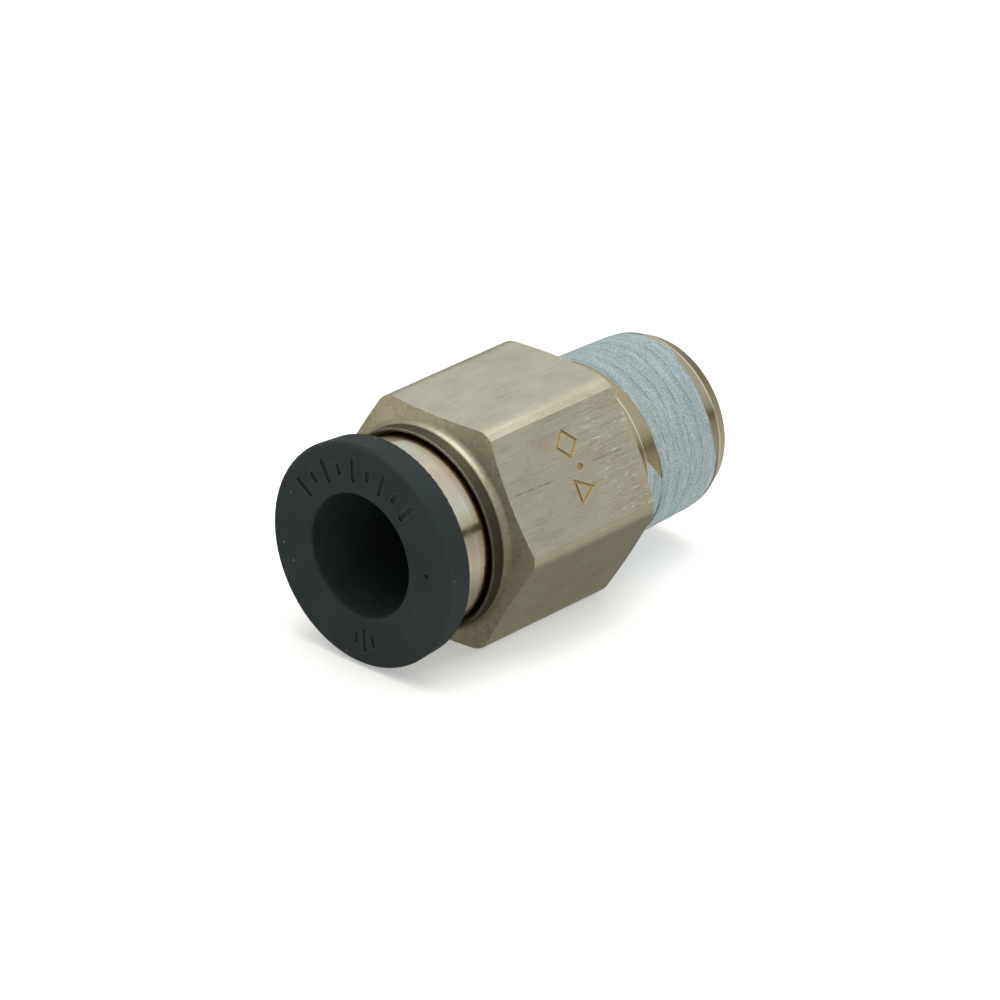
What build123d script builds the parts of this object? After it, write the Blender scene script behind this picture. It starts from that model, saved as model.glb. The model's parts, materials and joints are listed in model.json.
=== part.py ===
from build123d import *
import os
from math import cos, hypot, radians, sin, tan

# Straight male push-in connector for 6 mm tube, with an R 1/8 taper thread.
# Millimetres.  The axis is Y: the tube enters from -Y and the thread points to +Y.
# y = 0 is the hexagon's end face on the thread side.  Two flats of the hexagon face +Z and -Z.
# Outlines of turned pieces are lists of (y, r): a place along the axis and a radius there.

# Tube and sockets
TUBE_R = 3.0
SEAT_R = TUBE_R + 0.08
SEAT_START = -1.6
SEAT_END = 2.2
PASSAGE_R = 2.1

# Hexagon
ACROSS_FLATS = 12.0
HEX_NEAR = -9.65
HEX_CORNER_R = 6.74
HEX_CORNER_SOFTENING = 1.2
CHAMFER_SLOPE = 0.334
CHAMFER_NEAR_R = 5.605
CHAMFER_FAR_R = 5.746

# Boss on the tube side, which the guide ring is pressed into
BOSS_FRONT = -10.75
BOSS_R = 5.35
BOSS_ROOT_FILLET = 0.4
BOSS_EDGE_FILLET = 0.04
BOSS_GAP_R = 5.22
BOSS_GAP_LEAD = 0.03
GUIDE_STEP = -9.9
PRESS_R = 4.8
CLAW_SHOULDER = -7.34
SEAL_BORE_R = 4.6

# Taper thread, R 1/8.  The gauge plane lies 4.0 mm from the small end, give or take 0.9 mm.
THREAD_PITCH = 0.907
GAUGE_R = 4.864
GAUGE_LENGTH = 3.1
TAPER = 1 / 32
THREAD_DEPTH = 0.5
THREAD_END = 7.8
END_CHAMFER_START = 7.03
END_CHAMFER_R = 4.45
END_EDGE_FILLET = 0.1
COLLAR_R = 5.25
COLLAR_END = 1.05
COLLAR_EDGE_FILLET = 0.07
RUNOUT_R = 4.86
GROOVES_START = 2.5
GROOVES_END = 6.4
COAT_START = 1.9
COAT_END = 6.9
COAT_THICKNESS = 0.035
COAT_GROOVE_DEPTH = 0.05

# Guide ring, the bright neck
GUIDE_FRONT = -12.6
GUIDE_NECK_R = 5.05
GUIDE_LIP_R = 3.9
GUIDE_LIP_END = -11.6
GUIDE_BORE_R = 4.3
GUIDE_REAR = -7.6

# Release ring
RING_FRONT = -14.69
RING_REAR = -12.91
RING_FRONT_R = 5.924
RING_REAR_R = 5.79
RING_FACE_ROUND = 0.32
RING_REAR_ROUND = 0.12
RING_WEB_REAR = -13.65
RING_RECESS_R = 5.2
RING_HOLE_R = 3.24
RING_HOLE_LEAD = 0.16
STEM_R = 3.85
BARB_R = 4.15
BARB_FRONT = -11.57
BARB_REAR = -11.0
STEM_WAIST = -9.6
NOSE_Y = -7.42
NOSE_R = 3.33
NOSE_BORE_R = 3.07
STEM_SLITS = 4
SLIT_WIDTH = 0.45
SLIT_START = -10.4
SLIT_TURN = 9

# Marks: shallow pictograms with no lettering
MARK_DEPTH = 0.12
RING_MARK_R = 4.5
TICK_COUNT = 9
TICK_SPREAD = 98
TICK_MIDDLE = 97
TICK_LENGTH = 1.3
TICK_WIDTH = 0.28
SIZE_MARK_ANGLE = -84
POINT_MARK_ANGLE = 6
STAMP_DEPTH = 0.05
STAMP_Y = -4.6
STAMP_FLAT = radians(30)
STAMP_LINE = 0.16

# Lock claws: a stamped stainless ring with inward fingers
CLAW_COUNT = 12
CLAW_SHEET = 0.2
CLAW_HINGE_R = 4.0
CLAW_HINGE_Y = -7.5
CLAW_REST_ANGLE = 35
CLAW_LENGTH = 1.47
CLAW_ROOT_WIDTH = 1.5
CLAW_TIP_WIDTH = 1.12
CLAW_TIP_R = 2.88
CLAW_RING_INNER_R = 4.22
CLAW_RING_OUTER_R = 4.75
CLAW_RING_FRONT = -7.57

# Backing ring and elastic sleeve
BACKING_WEB_FRONT = -6.0
BACKING_WEB_REAR = -5.2
BACKING_SKIRT_R = 4.25
BACKING_BORE_R = 3.12
SLEEVE_REAR = -1.62
SLEEVE_LIP_R = 2.87


def crest_radius(y):
    """Outer radius of the taper thread at a place along the axis."""
    gauge_plane = THREAD_END - GAUGE_LENGTH
    return GAUGE_R - (y - gauge_plane) * TAPER


def outline_face(points, rounds=()):
    """A face in the X-Y plane from (y, r) points, with chosen corners rounded."""
    face = make_face(Polyline(*[(r, y) for y, r in points], close=True))
    for (y, r), radius in rounds:
        corner = min(face.vertices(), key=lambda v: hypot(v.X - r, v.Y - y))
        face = fillet(corner, radius)
    return face


def turned(points, rounds=()):
    """A solid of revolution about the axis."""
    return revolve(outline_face(points, rounds), Axis.Y, 360)


def thread_line(start, end, crest_offset, depth):
    """Zigzag of crests and roots between two places, one V for each pitch."""
    line = []
    turns = int((end - start) / THREAD_PITCH)
    for turn in range(turns):
        y = start + turn * THREAD_PITCH
        line.append((y, crest_radius(y) + crest_offset))
        root = y + THREAD_PITCH / 2
        line.append((root, crest_radius(root) + crest_offset - depth))
    last = start + turns * THREAD_PITCH
    line.append((last, crest_radius(last) + crest_offset))
    return line


def hexagon():
    """Chamfered hexagonal bar with soft corners, crisp only round the re-cut flat with the stamp."""
    section = RegularPolygon(ACROSS_FLATS / 2, 6, major_radius=False) & Circle(HEX_CORNER_R)
    facing = Vector(cos(STAMP_FLAT), sin(STAMP_FLAT), 0)
    soft = [v for v in section.vertices() if Vector(v).dot(facing) < ACROSS_FLATS / 2 - 0.01]
    section = fillet(soft, HEX_CORNER_SOFTENING)
    bar = extrude(Plane.XZ * section, -HEX_NEAR)
    outside = 8.0
    near_rise = CHAMFER_SLOPE * (outside - CHAMFER_NEAR_R)
    far_rise = CHAMFER_SLOPE * (outside - CHAMFER_FAR_R)
    limits = turned([
        (HEX_NEAR, 0), (HEX_NEAR, CHAMFER_NEAR_R), (HEX_NEAR + near_rise, outside),
        (-far_rise, outside), (0, CHAMFER_FAR_R), (0, 0),
    ])
    return bar & limits


def boss():
    """Round boss on the tube side, blended into the hexagon's chamfer."""
    inside = PRESS_R - 0.3
    under = HEX_NEAR + 0.4
    root = HEX_NEAR - CHAMFER_SLOPE * (CHAMFER_NEAR_R - BOSS_R)
    skirt_r = CHAMFER_NEAR_R + 0.3
    skirt = HEX_NEAR + CHAMFER_SLOPE * (skirt_r - CHAMFER_NEAR_R)
    return turned(
        [
            (BOSS_FRONT, inside), (BOSS_FRONT, BOSS_R), (root, BOSS_R),
            (skirt, skirt_r), (under, skirt_r), (under, inside),
        ],
        [((BOSS_FRONT, BOSS_R), BOSS_EDGE_FILLET), ((root, BOSS_R), BOSS_ROOT_FILLET)],
    )


def threaded_end():
    """Collar, run-out, taper thread and chamfered end."""
    inside = PASSAGE_R / 2
    under = -0.5
    end_edge = (END_CHAMFER_START, crest_radius(END_CHAMFER_START))
    return turned(
        [(under, inside), (under, COLLAR_R), (COLLAR_END, COLLAR_R)]
        + [(COLLAR_END + 0.08, RUNOUT_R), (GROOVES_START, RUNOUT_R)]
        + thread_line(GROOVES_START, GROOVES_END, 0, THREAD_DEPTH)
        + [end_edge, (THREAD_END, END_CHAMFER_R), (THREAD_END, inside)],
        [((COLLAR_END, COLLAR_R), COLLAR_EDGE_FILLET), (end_edge, END_EDGE_FILLET)],
    )


def body_bore():
    """Everything that is bored out of the body, as one turned core."""
    lead = 0.25
    return turned([
        (BOSS_FRONT - 1, 0), (BOSS_FRONT - 1, BOSS_GAP_R + BOSS_GAP_LEAD),
        (BOSS_FRONT, BOSS_GAP_R + BOSS_GAP_LEAD), (BOSS_FRONT + BOSS_GAP_LEAD, BOSS_GAP_R),
        (GUIDE_STEP, BOSS_GAP_R), (GUIDE_STEP, PRESS_R),
        (CLAW_SHOULDER, PRESS_R), (CLAW_SHOULDER, SEAL_BORE_R),
        (SEAT_START, SEAL_BORE_R), (SEAT_START, SEAT_R + lead),
        (SEAT_START + lead, SEAT_R), (SEAT_END, SEAT_R),
        (SEAT_END, PASSAGE_R), (THREAD_END - lead, PASSAGE_R),
        (THREAD_END, PASSAGE_R + lead), (THREAD_END + 1, PASSAGE_R + lead),
        (THREAD_END + 1, 0),
    ])


def body_stamp():
    """Signs stamped in the flat that faces 30 degrees above +X: a diamond, a dot and a triangle."""
    diamond = RegularPolygon(0.8, 4) - RegularPolygon(0.8 - 1.4 * STAMP_LINE, 4)
    triangle = RegularPolygon(0.85, 3) - RegularPolygon(0.85 - 2 * STAMP_LINE, 3)
    marks = Pos(0, 1.4) * diamond
    marks += Pos(0.35, 0.1) * Circle(0.2)
    marks += Pos(0, -1.05) * triangle
    facing = Vector(cos(STAMP_FLAT), 0, sin(STAMP_FLAT))
    flat = Plane(
        origin=facing * (ACROSS_FLATS / 2) + Vector(0, STAMP_Y, 0),
        x_dir=(0, 1, 0),
        z_dir=facing,
    )
    return extrude(flat * marks, STAMP_DEPTH, both=True)


def fitting_body():
    return hexagon() + boss() + threaded_end() - body_bore() - body_stamp()


def thread_sealant():
    """Dry sealant coat over the thread: its inside is the thread itself."""
    inner = [(COAT_START, RUNOUT_R), (GROOVES_START, RUNOUT_R)]
    inner += thread_line(GROOVES_START, GROOVES_END, 0, THREAD_DEPTH)
    inner.append((COAT_END, crest_radius(COAT_END)))
    outer = [(COAT_START, RUNOUT_R + COAT_THICKNESS), (GROOVES_START, RUNOUT_R + COAT_THICKNESS)]
    outer += thread_line(GROOVES_START, GROOVES_END, COAT_THICKNESS, COAT_GROOVE_DEPTH)
    outer.append((COAT_END, crest_radius(COAT_END) + COAT_THICKNESS))
    return turned(inner + outer[::-1])


def guide_ring():
    """Bright neck whose inner lip holds the release ring in and which clamps the claw ring."""
    return turned(
        [
            (GUIDE_FRONT, GUIDE_LIP_R), (GUIDE_FRONT, GUIDE_NECK_R), (GUIDE_STEP, GUIDE_NECK_R),
            (GUIDE_STEP, PRESS_R), (GUIDE_REAR, PRESS_R), (GUIDE_REAR, GUIDE_BORE_R),
            (GUIDE_LIP_END, GUIDE_BORE_R), (GUIDE_LIP_END, GUIDE_LIP_R),
        ],
        [((GUIDE_FRONT, GUIDE_NECK_R), 0.15), ((GUIDE_FRONT, GUIDE_LIP_R), 0.1)],
    )


def ring_marks():
    """Ticks round the top of the face, long and short in turn, three at the bottom, and a point."""
    def on_ring(angle, mark):
        return Rot(0, 0, angle) * (Pos(RING_MARK_R, 0) * mark)

    long_tick = SlotOverall(TICK_LENGTH, TICK_WIDTH)
    short_tick = SlotOverall(TICK_LENGTH / 2, TICK_WIDTH)
    marks = []
    for step in range(TICK_COUNT):
        angle = TICK_MIDDLE + TICK_SPREAD * (0.5 - step / (TICK_COUNT - 1))
        marks.append(on_ring(angle, short_tick if step % 2 else long_tick))
    for side in (-7, 0, 7):
        marks.append(on_ring(SIZE_MARK_ANGLE + side, short_tick if side else long_tick))
    marks.append(on_ring(POINT_MARK_ANGLE, Circle(TICK_WIDTH / 2)))
    face = Plane(origin=(0, RING_FRONT, 0), x_dir=(1, 0, 0), z_dir=(0, -1, 0))
    return [extrude(face * mark, MARK_DEPTH, both=True) for mark in marks]


def release_ring():
    """Push ring: flange with a cored back, slit stem with a snap barb, and a conical nose."""
    ring = turned(
        [
            (RING_FRONT, RING_HOLE_R), (RING_FRONT, RING_FRONT_R), (RING_REAR, RING_REAR_R),
            (RING_REAR, RING_RECESS_R), (RING_WEB_REAR, RING_RECESS_R), (RING_WEB_REAR, STEM_R),
            (BARB_FRONT, STEM_R), (BARB_FRONT, BARB_R), (BARB_REAR, BARB_R),
            (STEM_WAIST, STEM_R - 0.1), (NOSE_Y, NOSE_R), (NOSE_Y, NOSE_BORE_R),
            (STEM_WAIST, NOSE_BORE_R), (RING_FRONT + 1.2, RING_HOLE_R),
        ],
        [
            ((RING_FRONT, RING_FRONT_R), RING_FACE_ROUND),
            ((RING_REAR, RING_REAR_R), RING_REAR_ROUND),
            ((RING_FRONT, RING_HOLE_R), RING_HOLE_LEAD),
        ],
    )
    slit_length = NOSE_Y - SLIT_START + 1
    slit = Pos(0, SLIT_START + slit_length / 2, 0) * Box(2 * BARB_R + 1, slit_length, SLIT_WIDTH)
    for step in range(STEM_SLITS // 2):
        ring -= Rot(0, step * 360 / STEM_SLITS + SLIT_TURN, 0) * slit
    for mark in ring_marks():
        ring -= mark
    return ring


def claw_ring():
    """Flat rim of the claw stamping, held between the guide ring and the body's shoulder."""
    rear = CLAW_RING_FRONT + CLAW_SHEET
    return turned([
        (CLAW_RING_FRONT, CLAW_RING_INNER_R), (CLAW_RING_FRONT, CLAW_RING_OUTER_R),
        (rear, CLAW_RING_OUTER_R), (rear, CLAW_RING_INNER_R),
    ])


def claw_finger(turn):
    """One finger of the stamping, leaning towards the thread, with its tip cut to the tube's curve."""
    lean = radians(CLAW_REST_ANGLE)
    root = (CLAW_HINGE_R, CLAW_HINGE_Y)
    tip = (root[0] - CLAW_LENGTH * cos(lean), root[1] + CLAW_LENGTH * sin(lean))
    back = (CLAW_SHEET * sin(lean), CLAW_SHEET * cos(lean))
    section = make_face(Polyline(
        root, tip, (tip[0] + back[0], tip[1] + back[1]), (root[0] + back[0], root[1] + back[1]),
        close=True,
    ))
    blade = extrude(section, CLAW_ROOT_WIDTH, both=True)
    inner, outer = CLAW_TIP_R - 0.2, CLAW_HINGE_R + 0.3
    plan = make_face(Polyline(
        (inner, -CLAW_TIP_WIDTH / 2), (outer, -CLAW_ROOT_WIDTH / 2),
        (outer, CLAW_ROOT_WIDTH / 2), (inner, CLAW_TIP_WIDTH / 2), close=True,
    ))
    blade &= extrude(Plane.XZ * plan, 10)
    tube_space = turned([(-10, 0), (-10, CLAW_TIP_R), (-5, CLAW_TIP_R), (-5, 0)])
    return Rot(0, -turn, 0) * (blade - tube_space)


def seal_backing_ring():
    """Ring that supports the sleeve; its skirt leaves room for the claws to swing."""
    return turned([
        (CLAW_SHOULDER, BACKING_SKIRT_R), (CLAW_SHOULDER, SEAL_BORE_R),
        (BACKING_WEB_REAR, SEAL_BORE_R), (BACKING_WEB_REAR, BACKING_BORE_R),
        (BACKING_WEB_FRONT, BACKING_BORE_R), (BACKING_WEB_FRONT, BACKING_SKIRT_R),
    ])


def elastic_sleeve():
    """Rubber sleeve with one sealing lip towards the tube and a wiper lip behind it."""
    return turned(
        [
            (BACKING_WEB_REAR, 3.55), (BACKING_WEB_REAR, SEAL_BORE_R), (SLEEVE_REAR, SEAL_BORE_R),
            (SLEEVE_REAR, 3.3), (-2.1, 3.12), (-2.65, SLEEVE_LIP_R + 0.04), (-3.2, 3.2),
            (-3.95, 3.25), (-4.5, SLEEVE_LIP_R), (-4.85, 3.3),
        ],
        [((-4.5, SLEEVE_LIP_R), 0.15), ((-2.65, SLEEVE_LIP_R + 0.04), 0.15)],
    )


def write(name, shape):
    export_step(shape, os.path.join("parts", name + ".step"))


os.makedirs("parts", exist_ok=True)
write("fitting_body", fitting_body())
write("thread_sealant", thread_sealant())
write("guide_ring", guide_ring())
write("release_ring", release_ring())
write("lock_claw_ring", claw_ring())
for index in range(CLAW_COUNT):
    write(f"lock_claw_{index + 1:02d}", claw_finger(360 * index / CLAW_COUNT))
write("seal_backing_ring", seal_backing_ring())
write("elastic_sleeve", elastic_sleeve())
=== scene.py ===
import json
import math

import bmesh
import bpy
from mathutils import Matrix, Vector, noise


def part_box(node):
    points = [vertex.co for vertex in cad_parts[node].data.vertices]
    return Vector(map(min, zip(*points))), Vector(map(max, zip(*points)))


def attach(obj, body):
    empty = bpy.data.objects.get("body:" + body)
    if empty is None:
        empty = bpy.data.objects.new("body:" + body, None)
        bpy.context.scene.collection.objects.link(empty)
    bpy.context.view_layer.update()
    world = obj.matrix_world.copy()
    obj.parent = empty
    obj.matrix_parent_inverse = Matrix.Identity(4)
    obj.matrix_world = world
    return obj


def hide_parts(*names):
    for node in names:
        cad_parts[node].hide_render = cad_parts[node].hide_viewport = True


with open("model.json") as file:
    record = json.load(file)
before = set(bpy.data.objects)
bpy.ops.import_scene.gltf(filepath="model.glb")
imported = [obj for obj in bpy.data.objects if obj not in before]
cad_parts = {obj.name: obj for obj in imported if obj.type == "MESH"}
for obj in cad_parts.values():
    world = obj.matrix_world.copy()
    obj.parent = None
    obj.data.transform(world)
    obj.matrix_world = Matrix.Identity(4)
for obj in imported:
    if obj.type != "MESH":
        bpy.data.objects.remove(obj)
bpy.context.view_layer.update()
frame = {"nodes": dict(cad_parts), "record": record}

MM = 0.001

# Places along the axis and radii, in millimetres, read from the frame
BODY_LOW, BODY_HIGH = (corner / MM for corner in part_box("fitting_body"))
COAT_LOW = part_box("thread_sealant")[0] / MM
HEX_NEAR = -9.65
HEX_FAR = 0.0
FLAT_R = 6.0
STAMPED_FLAT = math.radians(30)
STAMP_Y = -4.6
STAMP_HALF_LENGTH = 2.6
STAMP_HALF_WIDTH = 1.6
CHAMFER_SLOPE = 0.334
CHAMFER_NEAR_R = 5.605
CHAMFER_FAR_R = 5.746
NEAR_FACE = -9.2
BOSS_ROOT = -9.6
BOSS_RIM = -9.95
BOSS_R = 5.35
NECK_SHADE_START = -11.6
NECK_SHADE_END = -10.8
COLLAR_END = 1.05
COLLAR_R = 5.25
RUNOUT_R = 4.86
END_CHAMFER = 7.03
END_RIM_R = 4.4
HOLE_R = 3.3
THREAD_PITCH = 0.907
GROOVES_START = 2.5
COAT_THICKNESS = 0.035
COAT_START = 2.35
COAT_END = 6.62
SMEAR_TIP = 1.2
SMEAR_ANGLES = (math.radians(-115), math.radians(17))
SMEAR_OPENING = math.radians(26)
SKIN = 0.05
GAUGE_R = 4.864
GAUGE_PLANE = BODY_HIGH.y - 3.1
TAPER = 1 / 32


# ---------------------------------------------------------------- camera, lights, floor

CAMERA_AZIMUTH = 41.33
CAMERA_ELEVATION = 26.10
CAMERA_ROLL = 1.56
CAMERA_DISTANCE = 370.1
CAMERA_OFFSET = (-2.907, -1.818)
CAMERA_LENS = 264.0

FLOOR_REACH = 1.5
FLOOR_GLOW = 0.35

# Surroundings by the sine of the elevation: a bright studio behind the fitting, and in front of
# it a dim room under a pale ceiling
BACK_SKY = [
    (-1.0, (0.14, 0.13, 0.11)),
    (-0.74, (0.26, 0.25, 0.215)),
    (-0.44, (0.66, 0.64, 0.575)),
    (-0.06, (0.50, 0.485, 0.43)),
    (0.05, (0.44, 0.41, 0.34)),
    (0.09, (0.11, 0.095, 0.065)),
    (0.17, (0.11, 0.095, 0.065)),
    (0.21, (0.62, 0.60, 0.55)),
    (0.30, (0.68, 0.675, 0.64)),
    (0.44, (0.77, 0.85, 0.92)),
    (0.74, (0.78, 0.75, 0.71)),
    (1.0, (0.72, 0.70, 0.67)),
]
FRONT_SKY = [
    (-1.0, (0.14, 0.13, 0.11)),
    (-0.74, (0.27, 0.26, 0.21)),
    (-0.44, (0.16, 0.155, 0.135)),
    (-0.06, (0.58, 0.54, 0.42)),
    (0.10, (0.50, 0.47, 0.37)),
    (0.44, (0.40, 0.40, 0.39)),
    (0.74, (0.75, 0.75, 0.74)),
    (1.0, (0.80, 0.78, 0.74)),
]


def add_camera():
    """A long lens from the tube side, above and to the right."""
    azimuth, elevation, roll = (
        math.radians(a) for a in (CAMERA_AZIMUTH, CAMERA_ELEVATION, CAMERA_ROLL)
    )
    back = Vector((
        math.sin(azimuth) * math.cos(elevation),
        -math.cos(azimuth) * math.cos(elevation),
        math.sin(elevation),
    ))
    level = Vector((math.cos(azimuth), math.sin(azimuth), 0))
    rise = back.cross(level)
    right = level * math.cos(roll) + rise * math.sin(roll)
    up = rise * math.cos(roll) - level * math.sin(roll)
    data = bpy.data.cameras.new("camera")
    data.lens = CAMERA_LENS
    data.clip_start = 0.01
    data.clip_end = 20
    camera = bpy.data.objects.new("camera", data)
    place = back * CAMERA_DISTANCE + right * CAMERA_OFFSET[0] + up * CAMERA_OFFSET[1]
    turn = Matrix((right, up, back)).transposed().to_4x4()
    camera.matrix_world = Matrix.Translation(place * MM) @ turn
    bpy.context.scene.collection.objects.link(camera)
    bpy.context.scene.camera = camera


def add_area_light(name, place, target, size, power, color):
    """A rectangular soft light; place, target and size are in millimetres."""
    data = bpy.data.lights.new(name, "AREA")
    data.shape = "RECTANGLE"
    data.size, data.size_y = (side * MM for side in size)
    data.energy = power
    data.color = color
    light = bpy.data.objects.new(name, data)
    light.location = Vector(place) * MM
    aim = Vector(target) - Vector(place)
    light.rotation_mode = "QUATERNION"
    light.rotation_quaternion = aim.to_track_quat("-Z", "Y")
    bpy.context.scene.collection.objects.link(light)


def add_world():
    """Studio surroundings, blended from the front to the back of the fitting."""
    world = bpy.data.worlds.new("studio")
    bpy.context.scene.world = world
    world.use_nodes = True
    tree = world.node_tree
    coordinate = tree.nodes.new("ShaderNodeTexCoord")
    split = tree.nodes.new("ShaderNodeSeparateXYZ")
    tree.links.new(coordinate.outputs["Generated"], split.inputs[0])
    backness = tree.nodes.new("ShaderNodeMapRange")
    backness.interpolation_type = "SMOOTHSTEP"
    backness.inputs["From Min"].default_value = -0.35
    backness.inputs["From Max"].default_value = 0.45
    tree.links.new(split.outputs["Y"], backness.inputs["Value"])
    blend = tree.nodes.new("ShaderNodeMix")
    blend.data_type = "RGBA"
    tree.links.new(backness.outputs["Result"], blend.inputs[0])
    for socket, sky in ((blend.inputs[6], FRONT_SKY), (blend.inputs[7], BACK_SKY)):
        height = tree.nodes.new("ShaderNodeMapRange")
        height.inputs["From Min"].default_value = -1.0
        tree.links.new(split.outputs["Z"], height.inputs["Value"])
        ramp = tree.nodes.new("ShaderNodeValToRGB")
        tree.links.new(height.outputs["Result"], ramp.inputs[0])
        elements = ramp.color_ramp.elements
        while len(elements) < len(sky):
            elements.new(0.5)
        for element, (rise, color) in zip(elements, sky):
            element.position = (rise + 1) / 2
            element.color = (*color, 1)
        tree.links.new(ramp.outputs[0], socket)
    tree.links.new(blend.outputs[2], tree.nodes["Background"].inputs["Color"])


def add_floor():
    """Pale floor under the flat that the fitting lies on; gloss looks past it to the studio."""
    level = BODY_LOW.z * MM - 0.00001
    rim = [
        (FLOOR_REACH * math.cos(turn), FLOOR_REACH * math.sin(turn), level)
        for turn in (2 * math.pi * i / 48 for i in range(48))
    ]
    mesh = bpy.data.meshes.new("floor")
    mesh.from_pydata(rim, [], [tuple(range(len(rim)))])
    floor = bpy.data.objects.new("floor", mesh)
    bpy.context.scene.collection.objects.link(floor)
    paint = Paint("pale_paper", base=(0.9, 0.9, 0.895), rough=0.9, specular=0.1)
    tooth = paint.noise(paint.place((1, 1, 1)), 0.3, 3)
    paint.drive("Base Color", paint.ramp(tooth, [(0.3, (0.89, 0.89, 0.885)), (0.7, (0.91, 0.91, 0.905))]))
    paint.shader.inputs["Emission Color"].default_value = (1, 1, 0.99, 1)
    paint.shader.inputs["Emission Strength"].default_value = FLOOR_GLOW
    mesh.materials.append(paint.material)
    floor.visible_glossy = False


# ---------------------------------------------------------------- material tools

class Paint:
    """A material's node tree, with short calls for the nodes used here. Lengths are in mm."""

    def __init__(self, name, base, rough, metal=0.0, specular=0.5):
        self.material = bpy.data.materials.new(name)
        self.material.use_nodes = True
        self.tree = self.material.node_tree
        self.shader = self.tree.nodes["Principled BSDF"]
        self.shader.inputs["Base Color"].default_value = (*base, 1)
        self.shader.inputs["Roughness"].default_value = rough
        self.shader.inputs["Metallic"].default_value = metal
        self.shader.inputs["Specular IOR Level"].default_value = specular
        self.normal = None
        coordinate = self.tree.nodes.new("ShaderNodeTexCoord")
        to_mm = self.tree.nodes.new("ShaderNodeVectorMath")
        to_mm.operation = "SCALE"
        to_mm.inputs["Scale"].default_value = 1 / MM
        self.tree.links.new(coordinate.outputs["Object"], to_mm.inputs[0])
        self.position = to_mm.outputs[0]
        split = self.tree.nodes.new("ShaderNodeSeparateXYZ")
        self.tree.links.new(self.position, split.inputs[0])
        self.x, self.y, self.z = split.outputs

    def put(self, socket, value):
        """Links an output to a socket, or sets the socket's own value."""
        if isinstance(value, bpy.types.NodeSocket):
            self.tree.links.new(value, socket)
        else:
            socket.default_value = value

    def drive(self, socket, value):
        self.put(self.shader.inputs[socket], value)

    def math(self, operation, a, b=0.0, c=0.0):
        node = self.tree.nodes.new("ShaderNodeMath")
        node.operation = operation
        for socket, value in zip(node.inputs, (a, b, c)):
            self.put(socket, value)
        return node.outputs[0]

    def combine(self, x, y, z):
        node = self.tree.nodes.new("ShaderNodeCombineXYZ")
        for socket, value in zip(node.inputs, (x, y, z)):
            self.put(socket, value)
        return node.outputs[0]

    def place(self, stretch):
        """Object position in mm, stretched."""
        node = self.tree.nodes.new("ShaderNodeVectorMath")
        node.operation = "MULTIPLY"
        self.put(node.inputs[0], self.position)
        node.inputs[1].default_value = stretch
        return node.outputs[0]

    def radius(self):
        """Distance from the fitting's axis."""
        square = self.math("MULTIPLY", self.x, self.x)
        square = self.math("ADD", square, self.math("MULTIPLY", self.z, self.z))
        return self.math("SQRT", square)

    def turning(self, fine, angular=0.6):
        """Coordinates that run round the axis, so noise becomes turning lines."""
        angle = self.math("ARCTAN2", self.z, self.x)
        return self.combine(
            self.math("MULTIPLY", self.radius(), fine),
            self.math("MULTIPLY", self.y, fine),
            self.math("MULTIPLY", angle, angular),
        )

    def noise(self, vector, scale, detail=2.0, roughness=0.55, distortion=0.0):
        node = self.tree.nodes.new("ShaderNodeTexNoise")
        self.put(node.inputs["Vector"], vector)
        node.inputs["Scale"].default_value = scale
        node.inputs["Detail"].default_value = detail
        node.inputs["Roughness"].default_value = roughness
        node.inputs["Distortion"].default_value = distortion
        return node.outputs["Fac"]

    def cells(self, vector, scale):
        """Distance to the nearest of many scattered points."""
        node = self.tree.nodes.new("ShaderNodeTexVoronoi")
        self.put(node.inputs["Vector"], vector)
        node.inputs["Scale"].default_value = scale
        return node.outputs["Distance"]

    def ramp(self, value, stops):
        """Colour or grey from a value; stops are (position, grey or colour)."""
        node = self.tree.nodes.new("ShaderNodeValToRGB")
        self.put(node.inputs[0], value)
        elements = node.color_ramp.elements
        while len(elements) < len(stops):
            elements.new(0.5)
        for element, (position, color) in zip(elements, stops):
            element.position = position
            element.color = (*color, 1) if isinstance(color, tuple) else (color, color, color, 1)
        return node.outputs[0]

    def edge_mask(self, radius, low, high):
        """1 on sharp edges, 0 away from them, from how far a bevel would turn the surface."""
        bevel = self.tree.nodes.new("ShaderNodeBevel")
        bevel.samples = 4
        bevel.inputs["Radius"].default_value = radius * MM
        geometry = self.tree.nodes.new("ShaderNodeNewGeometry")
        facing = self.tree.nodes.new("ShaderNodeVectorMath")
        facing.operation = "DOT_PRODUCT"
        self.tree.links.new(bevel.outputs[0], facing.inputs[0])
        self.tree.links.new(geometry.outputs["Normal"], facing.inputs[1])
        return self.step(self.math("SUBTRACT", 1.0, facing.outputs["Value"]), low, high)

    def step(self, value, low, high):
        """0 below low, 1 above high, smooth between."""
        node = self.tree.nodes.new("ShaderNodeMapRange")
        node.interpolation_type = "SMOOTHSTEP"
        self.put(node.inputs["Value"], value)
        node.inputs["From Min"].default_value = low
        node.inputs["From Max"].default_value = high
        return node.outputs["Result"]

    def mix(self, share, a, b):
        node = self.tree.nodes.new("ShaderNodeMix")
        node.data_type = "RGBA"
        self.put(node.inputs[0], share)
        for socket, value in ((node.inputs[6], a), (node.inputs[7], b)):
            self.put(socket, (*value, 1) if isinstance(value, tuple) else value)
        return node.outputs[2]

    def blend(self, share, a, b):
        """Mix of two numbers."""
        node = self.tree.nodes.new("ShaderNodeMix")
        node.data_type = "FLOAT"
        self.put(node.inputs[0], share)
        self.put(node.inputs[2], a)
        self.put(node.inputs[3], b)
        return node.outputs[0]

    def bump(self, height, depth, strength=1.0):
        """Adds surface relief of a depth in mm."""
        node = self.tree.nodes.new("ShaderNodeBump")
        node.inputs["Strength"].default_value = strength
        node.inputs["Distance"].default_value = depth * MM
        self.put(node.inputs["Height"], height)
        if self.normal is not None:
            self.put(node.inputs["Normal"], self.normal)
        self.normal = node.outputs[0]
        self.drive("Normal", self.normal)


# ---------------------------------------------------------------- materials

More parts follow.
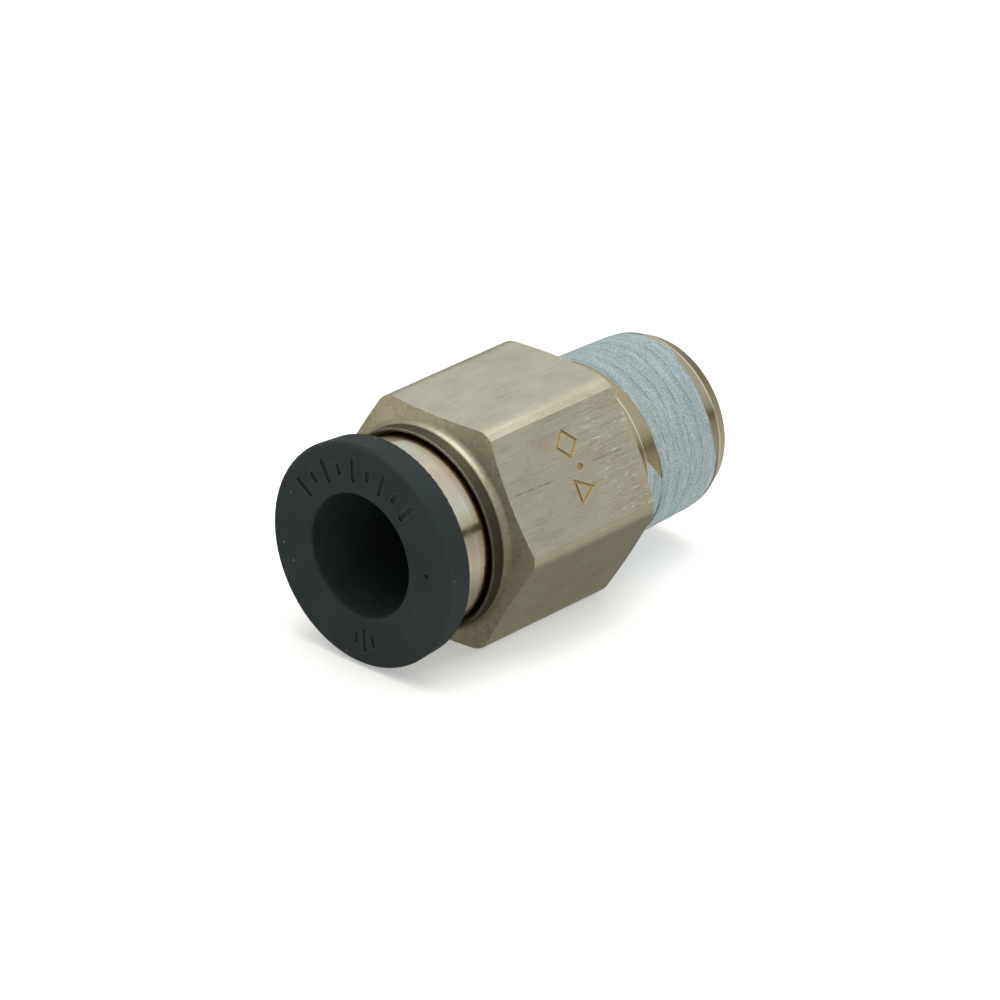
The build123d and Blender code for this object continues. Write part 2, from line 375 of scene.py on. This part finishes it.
def hexagon_flat(paint, radius):
    """1 on the hexagon's six flats and their corners, 0 on the turned surfaces."""
    rise = paint.math("SUBTRACT", radius, CHAMFER_NEAR_R)
    cone = paint.math("MULTIPLY_ADD", rise, CHAMFER_SLOPE, HEX_NEAR + 0.02)
    past_near = paint.math("GREATER_THAN", paint.y, cone)
    fall = paint.math("SUBTRACT", radius, CHAMFER_FAR_R)
    far_cone = paint.math("MULTIPLY_ADD", fall, -CHAMFER_SLOPE, HEX_FAR - 0.02)
    before_far = paint.math("LESS_THAN", paint.y, far_cone)
    outside = paint.math("GREATER_THAN", radius, FLAT_R - 0.1)
    return paint.math("MULTIPLY", paint.math("MULTIPLY", past_near, before_far), outside)


def stamp_gold(paint, across, above):
    """Share of bare brass: 1 in the stamped lines, 0 elsewhere."""
    along = paint.math("ABSOLUTE", paint.math("SUBTRACT", paint.y, STAMP_Y))
    near = paint.math("LESS_THAN", paint.math("ABSOLUTE", across), STAMP_HALF_LENGTH)
    near = paint.math("MULTIPLY", near, paint.math("LESS_THAN", along, STAMP_HALF_WIDTH))
    sunk = paint.math("LESS_THAN", above, FLAT_R - 0.01)
    sunk = paint.math("MULTIPLY", sunk, paint.math("GREATER_THAN", above, FLAT_R - 0.08))
    return paint.math("MULTIPLY", sunk, near)


def scratch(paint, along, across, start, end, width):
    """1 on one straight scratch from start to end on the stamped flat, each (y, across)."""
    slope = (end[1] - start[1]) / (end[0] - start[0])
    line = paint.math("MULTIPLY_ADD", paint.math("SUBTRACT", along, start[0]), slope, start[1])
    aside = paint.math("ABSOLUTE", paint.math("SUBTRACT", across, line))
    on_line = paint.step(aside, width, width / 3)
    past_start = paint.math("GREATER_THAN", along, start[0])
    before_end = paint.math("LESS_THAN", along, end[0])
    return paint.math("MULTIPLY", on_line, paint.math("MULTIPLY", past_start, before_end))


def body_metal():
    """Satin nickel over drawn brass bar: draw lines and dents on the flats, turning lines elsewhere."""
    paint = Paint("body_metal", base=(0.56, 0.525, 0.40), rough=0.34, metal=1.0)
    radius = paint.radius()
    flat = hexagon_flat(paint, radius)
    above = paint.math("MULTIPLY", paint.x, math.cos(STAMPED_FLAT))
    above = paint.math("MULTIPLY_ADD", paint.z, math.sin(STAMPED_FLAT), above)
    across = paint.math("MULTIPLY", paint.x, -math.sin(STAMPED_FLAT))
    across = paint.math("MULTIPLY_ADD", paint.z, math.cos(STAMPED_FLAT), across)
    on_stamped = paint.math("MULTIPLY", flat, paint.math("GREATER_THAN", above, FLAT_R - 0.08))

    mottle = paint.noise(paint.place((0.8, 0.45, 0.8)), 1.0, 4, 0.6)
    tones = [(0.3, (0.50, 0.465, 0.345)), (0.5, (0.56, 0.525, 0.405)), (0.7, (0.60, 0.57, 0.455))]
    tone = paint.ramp(mottle, tones)
    specks = paint.noise(paint.place((7, 5, 7)), 1.0, 3, 0.65)
    pale_speck = paint.math("MULTIPLY", paint.step(specks, 0.58, 0.70), 0.30)
    tone = paint.mix(pale_speck, tone, (0.68, 0.64, 0.54))
    dark_speck = paint.math("MULTIPLY", paint.step(specks, 0.42, 0.30), 0.35)
    tone = paint.mix(dark_speck, tone, (0.38, 0.345, 0.25))

    draw = paint.noise(paint.place((8, 0.32, 8)), 1.0, 5, 0.72)
    fine = paint.noise(paint.place((40, 3.0, 40)), 1.0, 2, 0.6)
    turned = paint.noise(paint.turning(7, 0.5), 1.0, 2, 0.5)
    lines = paint.blend(flat, turned, draw)
    streak = paint.math("MULTIPLY", paint.step(draw, 0.54, 0.66), flat)
    tone = paint.mix(paint.math("MULTIPLY", streak, 0.5), tone, (0.37, 0.34, 0.25))
    pale = paint.math("MULTIPLY", paint.step(draw, 0.46, 0.34), flat)
    tone = paint.mix(paint.math("MULTIPLY", pale, 0.42), tone, (0.69, 0.66, 0.56))

    # The turned ends are browner; the near chamfer is matt and stained; painted shade darkens the boss root
    # fillet, and the boss rim is painted near black as the shade of the gap by the guide ring.
    turned_part = paint.math("SUBTRACT", 1.0, flat)
    turned_end = paint.math("MULTIPLY", turned_part, paint.step(paint.y, -0.1, 0.1))
    tone = paint.mix(paint.math("MULTIPLY", turned_end, 0.85), tone, (0.42, 0.36, 0.21))
    near_face = paint.math("MULTIPLY", turned_part, paint.step(paint.y, NEAR_FACE, NEAR_FACE - 0.1))
    stain = paint.noise(paint.place((2.6, 2.6, 2.6)), 1.0, 5, 0.7)
    stain = paint.math("MULTIPLY", near_face, paint.step(stain, 0.50, 0.66))
    tone = paint.mix(paint.math("MULTIPLY", stain, 0.55), tone, (0.36, 0.32, 0.22))
    grit = paint.math("MULTIPLY", near_face, paint.step(specks, 0.52, 0.62))
    tone = paint.mix(paint.math("MULTIPLY", grit, 0.45), tone, (0.74, 0.70, 0.58))
    # Painted shade: the concave fillet at the boss root is darkened.
    shaded_boss_root = paint.step(paint.y, BOSS_ROOT, BOSS_ROOT - 0.15)
    shaded_boss_root = paint.math("MULTIPLY", shaded_boss_root, paint.step(radius, BOSS_R - 0.05, BOSS_R + 0.01))
    tone = paint.mix(paint.math("MULTIPLY", shaded_boss_root, 0.5), tone, (0.34, 0.31, 0.22))
    # Painted shade: the boss rim is painted near black, standing in for the shade of the gap by the guide
    # ring.
    rim = paint.step(paint.y, BOSS_RIM, BOSS_RIM - 0.15)
    rim = paint.math("MULTIPLY", rim, paint.step(radius, BOSS_R - 0.15, BOSS_R - 0.05))
    tone = paint.mix(paint.math("MULTIPLY", rim, 0.9), tone, (0.05, 0.045, 0.025))

    # Dents and scuffs gather near the thread end of the stamped flat
    scuff_area = paint.math("MULTIPLY", paint.step(paint.y, -4.6, -2.2), on_stamped)
    scuff_area = paint.math("MAXIMUM", scuff_area, paint.math("MULTIPLY", on_stamped, 0.25))
    chips = paint.noise(paint.place((5.5, 1.3, 5.5)), 1.0, 5, 0.75, 0.5)
    dark_chip = paint.math("MULTIPLY", paint.step(chips, 0.54, 0.66), scuff_area)
    pale_chip = paint.math("MULTIPLY", paint.step(chips, 0.44, 0.34), scuff_area)
    tone = paint.mix(paint.math("MULTIPLY", dark_chip, 0.45), tone, (0.29, 0.28, 0.235))
    tone = paint.mix(paint.math("MULTIPLY", pale_chip, 0.6), tone, (0.80, 0.79, 0.72))
    scratches = paint.math(
        "MAXIMUM",
        scratch(paint, paint.y, across, (-9.0, 0.09), (-6.3, -0.03), 0.07),
        scratch(paint, paint.y, across, (-3.3, 0.09), (-1.2, 0.0), 0.09),
    )
    scratched = paint.math("MULTIPLY", on_stamped, paint.step(fine, 0.3, 0.55))
    scratches = paint.math("MULTIPLY", scratches, scratched)
    tone = paint.mix(paint.math("MULTIPLY", scratches, 0.7), tone, (0.26, 0.25, 0.21))

    # Pale edge lines: painted highlights on the collar's far edge and on the end chamfer's edge, and on
    # other sharp edges a lighter line that is part wear and part painted highlight.
    edge = paint.edge_mask(0.09, 0.01, 0.06)
    aside = paint.math("ABSOLUTE", paint.math("SUBTRACT", paint.y, COLLAR_END - 0.03))
    collar_highlight = paint.step(radius, COLLAR_R - 0.25, COLLAR_R - 0.15)
    collar_highlight = paint.math("MULTIPLY", paint.step(aside, 0.10, 0.05), collar_highlight)
    aside = paint.math("ABSOLUTE", paint.math("SUBTRACT", paint.y, END_CHAMFER))
    end_edge_highlight = paint.step(radius, END_RIM_R - 0.1, END_RIM_R)
    end_edge_highlight = paint.math("MULTIPLY", paint.step(aside, 0.10, 0.04), end_edge_highlight)
    edge_highlight_and_wear = paint.math("MAXIMUM", collar_highlight, paint.math("MULTIPLY", end_edge_highlight, 0.8))
    edge_highlight_and_wear = paint.math("MAXIMUM", edge_highlight_and_wear, paint.math("MULTIPLY", edge, 0.55))
    tone = paint.mix(edge_highlight_and_wear, tone, (0.88, 0.85, 0.74))
    gold = stamp_gold(paint, across, above)
    gold = paint.math("MULTIPLY", gold, paint.step(specks, 0.25, 0.45))
    tone = paint.mix(paint.math("MULTIPLY", gold, 0.85), tone, (0.46, 0.30, 0.07))
    paint.drive("Base Color", tone)

    rough = paint.blend(flat, paint.blend(near_face, 0.24, 0.50), 0.35)
    rough = paint.math("ADD", rough, paint.math("MULTIPLY", paint.math("SUBTRACT", lines, 0.5), 0.2))
    rough = paint.math("ADD", rough, paint.math("MULTIPLY", dark_chip, 0.15))
    paint.drive("Roughness", rough)
    paint.bump(lines, 0.003, 0.45)
    paint.bump(specks, 0.012, 0.45)
    paint.bump(fine, 0.002, 0.4)
    relief = paint.math("SUBTRACT", paint.math("SUBTRACT", pale_chip, dark_chip), scratches)
    paint.bump(relief, 0.02, 0.5)
    return paint.material


def bright_metal():
    """Bright turned nickel of the guide ring, warm, with faint rings and painted brown shade by the rim."""
    paint = Paint("bright_metal", base=(0.62, 0.58, 0.46), rough=0.12, metal=1.0)
    lines = paint.noise(paint.turning(9, 0.5), 1.0, 3, 0.6)
    smudge = paint.noise(paint.place((0.9, 1.4, 0.9)), 1.0, 4, 0.65)
    paint.drive("Roughness", paint.ramp(smudge, [(0.35, 0.08), (0.65, 0.2)]))
    tone = paint.ramp(lines, [(0.3, (0.58, 0.53, 0.41)), (0.7, (0.68, 0.64, 0.53))])
    # Painted shade: the neck turns brown towards the boss rim.
    neck_shade = paint.step(paint.y, NECK_SHADE_START, NECK_SHADE_END)
    tone = paint.mix(paint.math("MULTIPLY", neck_shade, 0.8), tone, (0.34, 0.22, 0.09))
    paint.drive("Base Color", tone)
    paint.bump(lines, 0.0015, 0.4)
    paint.bump(smudge, 0.01, 0.15)
    return paint.material


def black_resin():
    """Moulded black acetal, satin, with a fine moulded texture, rubbed edges and stray flecks."""
    paint = Paint("black_resin", base=(0.022, 0.031, 0.030), rough=0.58, specular=0.13)
    cloud = paint.noise(paint.place((0.6, 0.6, 0.6)), 1.0, 4)
    grain = paint.noise(paint.place((14, 14, 14)), 1.0, 3, 0.6)
    tone = paint.ramp(cloud, [(0.3, (0.020, 0.029, 0.028)), (0.7, (0.026, 0.037, 0.036))])
    edge = paint.edge_mask(0.12, 0.02, 0.12)
    tone = paint.mix(paint.math("MULTIPLY", edge, 0.5), tone, (0.075, 0.09, 0.09))
    flecks = paint.cells(paint.place((1, 1, 1)), 1.15)
    outside_hole = paint.step(paint.radius(), HOLE_R, HOLE_R + 0.1)
    fleck = paint.math("MULTIPLY", paint.step(flecks, 0.05, 0.035), outside_hole)
    tone = paint.mix(paint.math("MULTIPLY", fleck, 0.7), tone, (0.30, 0.33, 0.34))
    paint.drive("Base Color", tone)
    paint.drive("Roughness", paint.ramp(grain, [(0.3, 0.5), (0.7, 0.68)]))
    paint.bump(grain, 0.008, 0.35)
    return paint.material


def dry_coat():
    """Pale blue-grey thread sealant, dried and grainy, with a few long creases over the thread, darkened
    with painted shade.
    """
    paint = Paint("dry_coat", base=(0.305, 0.385, 0.40), rough=0.9, specular=0.2)
    grain = paint.noise(paint.place((13, 13, 13)), 1.0, 4, 0.8)
    brushed = paint.noise(paint.turning(3.0, 2.2), 1.0, 4, 0.65)
    tones = [(0.3, (0.24, 0.315, 0.33)), (0.5, (0.305, 0.385, 0.40)), (0.7, (0.39, 0.47, 0.485))]
    tone = paint.ramp(brushed, tones)
    pale = paint.step(grain, 0.52, 0.62)
    tone = paint.mix(paint.math("MULTIPLY", pale, 0.75), tone, (0.57, 0.66, 0.68))
    dark = paint.step(grain, 0.48, 0.38)
    tone = paint.mix(paint.math("MULTIPLY", dark, 0.75), tone, (0.17, 0.225, 0.235))
    angle = paint.math("ARCTAN2", paint.z, paint.x)
    turn = paint.math("MULTIPLY", paint.y, 1 / THREAD_PITCH)
    turn = paint.math("MULTIPLY_ADD", angle, -1 / (2 * math.pi), turn)
    sway = paint.noise(paint.place((0.55, 0.55, 0.55)), 1.0, 3)
    turn = paint.math("MULTIPLY_ADD", sway, 0.9, turn)
    phase = paint.math("ABSOLUTE", paint.math("SUBTRACT", paint.math("FRACT", turn), 0.5))
    uneven = paint.math("MULTIPLY_ADD", grain, -0.14, phase)
    # Creases follow the thread's helix; they get relief from a bump, and painted shade in their colour.
    shaded_crease = paint.step(uneven, 0.01, -0.05)
    broken = paint.step(paint.noise(paint.place((1.1, 1.1, 1.1)), 1.0, 4, 0.75), 0.40, 0.52)
    shaded_crease = paint.math("MULTIPLY", shaded_crease, broken)
    tone = paint.mix(paint.math("MULTIPLY", shaded_crease, 0.6), tone, (0.15, 0.195, 0.205))
    edge = paint.edge_mask(0.10, 0.03, 0.15)
    tone = paint.mix(paint.math("MULTIPLY", edge, 0.4), tone, (0.70, 0.75, 0.75))
    paint.drive("Base Color", tone)
    paint.bump(grain, 0.05, 0.7)
    paint.bump(paint.math("SUBTRACT", 1.0, shaded_crease), 0.03, 0.5)
    return paint.material


def spring_sheet():
    """Stamped stainless spring sheet."""
    paint = Paint("spring_sheet", base=(0.56, 0.55, 0.54), rough=0.3, metal=1.0)
    lines = paint.noise(paint.place((20, 20, 3)), 1.0, 3, 0.6)
    paint.drive("Roughness", paint.ramp(lines, [(0.3, 0.22), (0.7, 0.4)]))
    paint.drive("Base Color", paint.ramp(lines, [(0.3, (0.50, 0.49, 0.48)), (0.7, (0.60, 0.59, 0.58))]))
    paint.bump(lines, 0.002, 0.4)
    return paint.material


def plain_brass():
    """Turned brass without plating."""
    paint = Paint("plain_brass", base=(0.72, 0.52, 0.22), rough=0.28, metal=1.0)
    lines = paint.noise(paint.turning(18), 1.0, 3, 0.6)
    paint.drive("Roughness", paint.ramp(lines, [(0.3, 0.2), (0.7, 0.38)]))
    paint.drive("Base Color", paint.ramp(lines, [(0.3, (0.66, 0.46, 0.18)), (0.7, (0.76, 0.57, 0.27))]))
    paint.bump(lines, 0.003, 0.4)
    return paint.material


def black_rubber():
    """Moulded nitrile rubber."""
    paint = Paint("black_rubber", base=(0.02, 0.02, 0.02), rough=0.65, specular=0.4)
    bloom = paint.noise(paint.place((2, 2, 2)), 1.0, 4)
    paint.drive("Base Color", paint.ramp(bloom, [(0.3, (0.016, 0.016, 0.016)), (0.7, (0.03, 0.03, 0.029))]))
    paint.drive("Roughness", paint.ramp(bloom, [(0.3, 0.55), (0.7, 0.75)]))
    paint.bump(bloom, 0.01, 0.3)
    return paint.material


# ---------------------------------------------------------------- sealant coat

def crest_radius(y):
    """Outer radius of the taper thread at a place along the axis."""
    return GAUGE_R - (y - GAUGE_PLANE) * TAPER


def ripple(angle, scale, seed):
    """Smooth random wave round the axis, between about -0.5 and 0.5."""
    return noise.noise(Vector((scale * math.cos(angle), scale * math.sin(angle), seed)))


def coat_start(angle):
    """Where the coat begins: it wanders round the run-out."""
    return COAT_START - 0.4 * math.cos(angle - math.radians(100)) + 0.08 * ripple(angle, 4, 3.1)


def coat_end(angle):
    """Where the coat ends: it reaches furthest at three places."""
    wave = 0.26 * math.cos(3 * (angle - math.radians(88)))
    return COAT_END + wave + 0.1 * ripple(angle, 5, 8.4) + 0.04 * ripple(angle, 22, 5.2)


def coat_surface(y, angle):
    """Radius of the coat, with the thread's ridges showing through as a helix."""
    turn = (y - COAT_LOW.y) / THREAD_PITCH - angle / (2 * math.pi)
    groove = (0.5 - 0.5 * math.cos(2 * math.pi * turn)) ** 5
    place = Vector((5 * math.cos(angle), y, 5 * math.sin(angle)))
    grain = noise.fractal(place * 3.0, 1.0, 2.0, 4)
    lumps = noise.noise(place * 0.9)
    blend = min(max((y - GROOVES_START + 0.3) / 0.4, 0), 1)
    base = RUNOUT_R + (crest_radius(y) - RUNOUT_R) * blend
    thickness = COAT_THICKNESS - 0.02 * groove * blend + 0.008 * grain + 0.008 * lumps
    return base + max(thickness, 0.01)


def smear_surface(y, angle):
    """Radius of the thin smear on the run-out."""
    place = Vector((5 * math.cos(angle), y, 5 * math.sin(angle)))
    return RUNOUT_R + 0.022 + 0.010 * noise.fractal(place * 3.0, 1.0, 2.0, 4)


def add_coat(name, span, start, end, surface, along, around):
    """A closed skin of sealant between two wandering edges; span is its first and last angle."""
    closed = span is None
    first, last = (0, 2 * math.pi) if closed else span
    mesh = bmesh.new()
    top = []
    for i in range(along + 1):
        row = []
        for j in range(around if closed else around + 1):
            angle = first + (last - first) * j / around
            y = start(angle) + (end(angle) - start(angle)) * i / along
            edge = min(i, along - i) / 4
            if not closed:
                edge = min(edge, min(j, around - j) / 2)
            radius = surface(y, angle) - 0.03 * max(1 - edge, 0) ** 2
            point = Vector((radius * math.cos(angle), y, radius * math.sin(angle)))
            row.append(mesh.verts.new(point * MM))
        top.append(row)
    under = []
    for row in top:
        copy = []
        for vertex in row:
            inward = Vector((vertex.co.x, 0, vertex.co.z)).normalized() * SKIN * MM
            copy.append(mesh.verts.new(vertex.co - inward))
        under.append(copy)
    count = len(top[0])
    steps = count if closed else count - 1
    for low, high, low_under, high_under in zip(top, top[1:], under, under[1:]):
        for j in range(steps):
            k = (j + 1) % count
            mesh.faces.new((low[j], high[j], high[k], low[k]))
            mesh.faces.new((low_under[j], low_under[k], high_under[k], high_under[j]))
    for row, row_under in ((top[0], under[0]), (top[-1], under[-1])):
        for j in range(steps):
            k = (j + 1) % count
            mesh.faces.new((row[j], row[k], row_under[k], row_under[j]))
    if not closed:
        for side in (0, -1):
            for i in range(along):
                mesh.faces.new((top[i][side], top[i + 1][side], under[i + 1][side], under[i][side]))
    bmesh.ops.recalc_face_normals(mesh, faces=mesh.faces)
    data = bpy.data.meshes.new(name)
    mesh.to_mesh(data)
    mesh.free()
    data.shade_smooth()
    coat = bpy.data.objects.new(name, data)
    bpy.context.scene.collection.objects.link(coat)
    return coat


def add_sealant():
    """The dried coat on the thread, and the smear that its brush left on the run-out."""
    coat = add_coat("sealant_coat", None, coat_start, coat_end, coat_surface, 170, 420)

    def smear_start(angle):
        return COLLAR_END + 0.09

    def smear_end(angle):
        opening = min(max((SMEAR_ANGLES[1] - angle) / SMEAR_OPENING, 0), 1)
        return SMEAR_TIP + (coat_start(angle) + 0.5 - SMEAR_TIP) * opening ** 0.8

    smear = add_coat("sealant_smear", SMEAR_ANGLES, smear_start, smear_end, smear_surface, 40, 150)
    finish = dry_coat()
    for piece in (coat, smear):
        piece.data.materials.append(finish)
        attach(piece, "fitting")
    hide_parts("thread_sealant")


def finish_nodes():
    """Each CAD node takes the material of its slot."""
    finishes = {
        "nickel_plated_brass": body_metal(),
        "bright_nickel": bright_metal(),
        "black_acetal": black_resin(),
        "spring_steel": spring_sheet(),
        "plain_brass": plain_brass(),
        "nitrile_rubber": black_rubber(),
        "dry_sealant": None,
    }
    for part in frame["record"]["subparts"]:
        finish = finishes[part["material_slot"]]
        if finish is not None:
            frame["nodes"][part["node"]].material_slots[0].material = finish


add_camera()
add_world()
add_floor()
add_area_light("overhead", (10, 10, 260), (0, -3, 0), (240, 240), 0.45, (1.0, 0.98, 0.95))
add_area_light("front_left", (-220, -210, 25), (0, -5, 0), (190, 130), 0.035, (1.0, 0.96, 0.88))
bpy.context.scene.view_settings.view_transform = "Standard"
finish_nodes()
add_sealant()
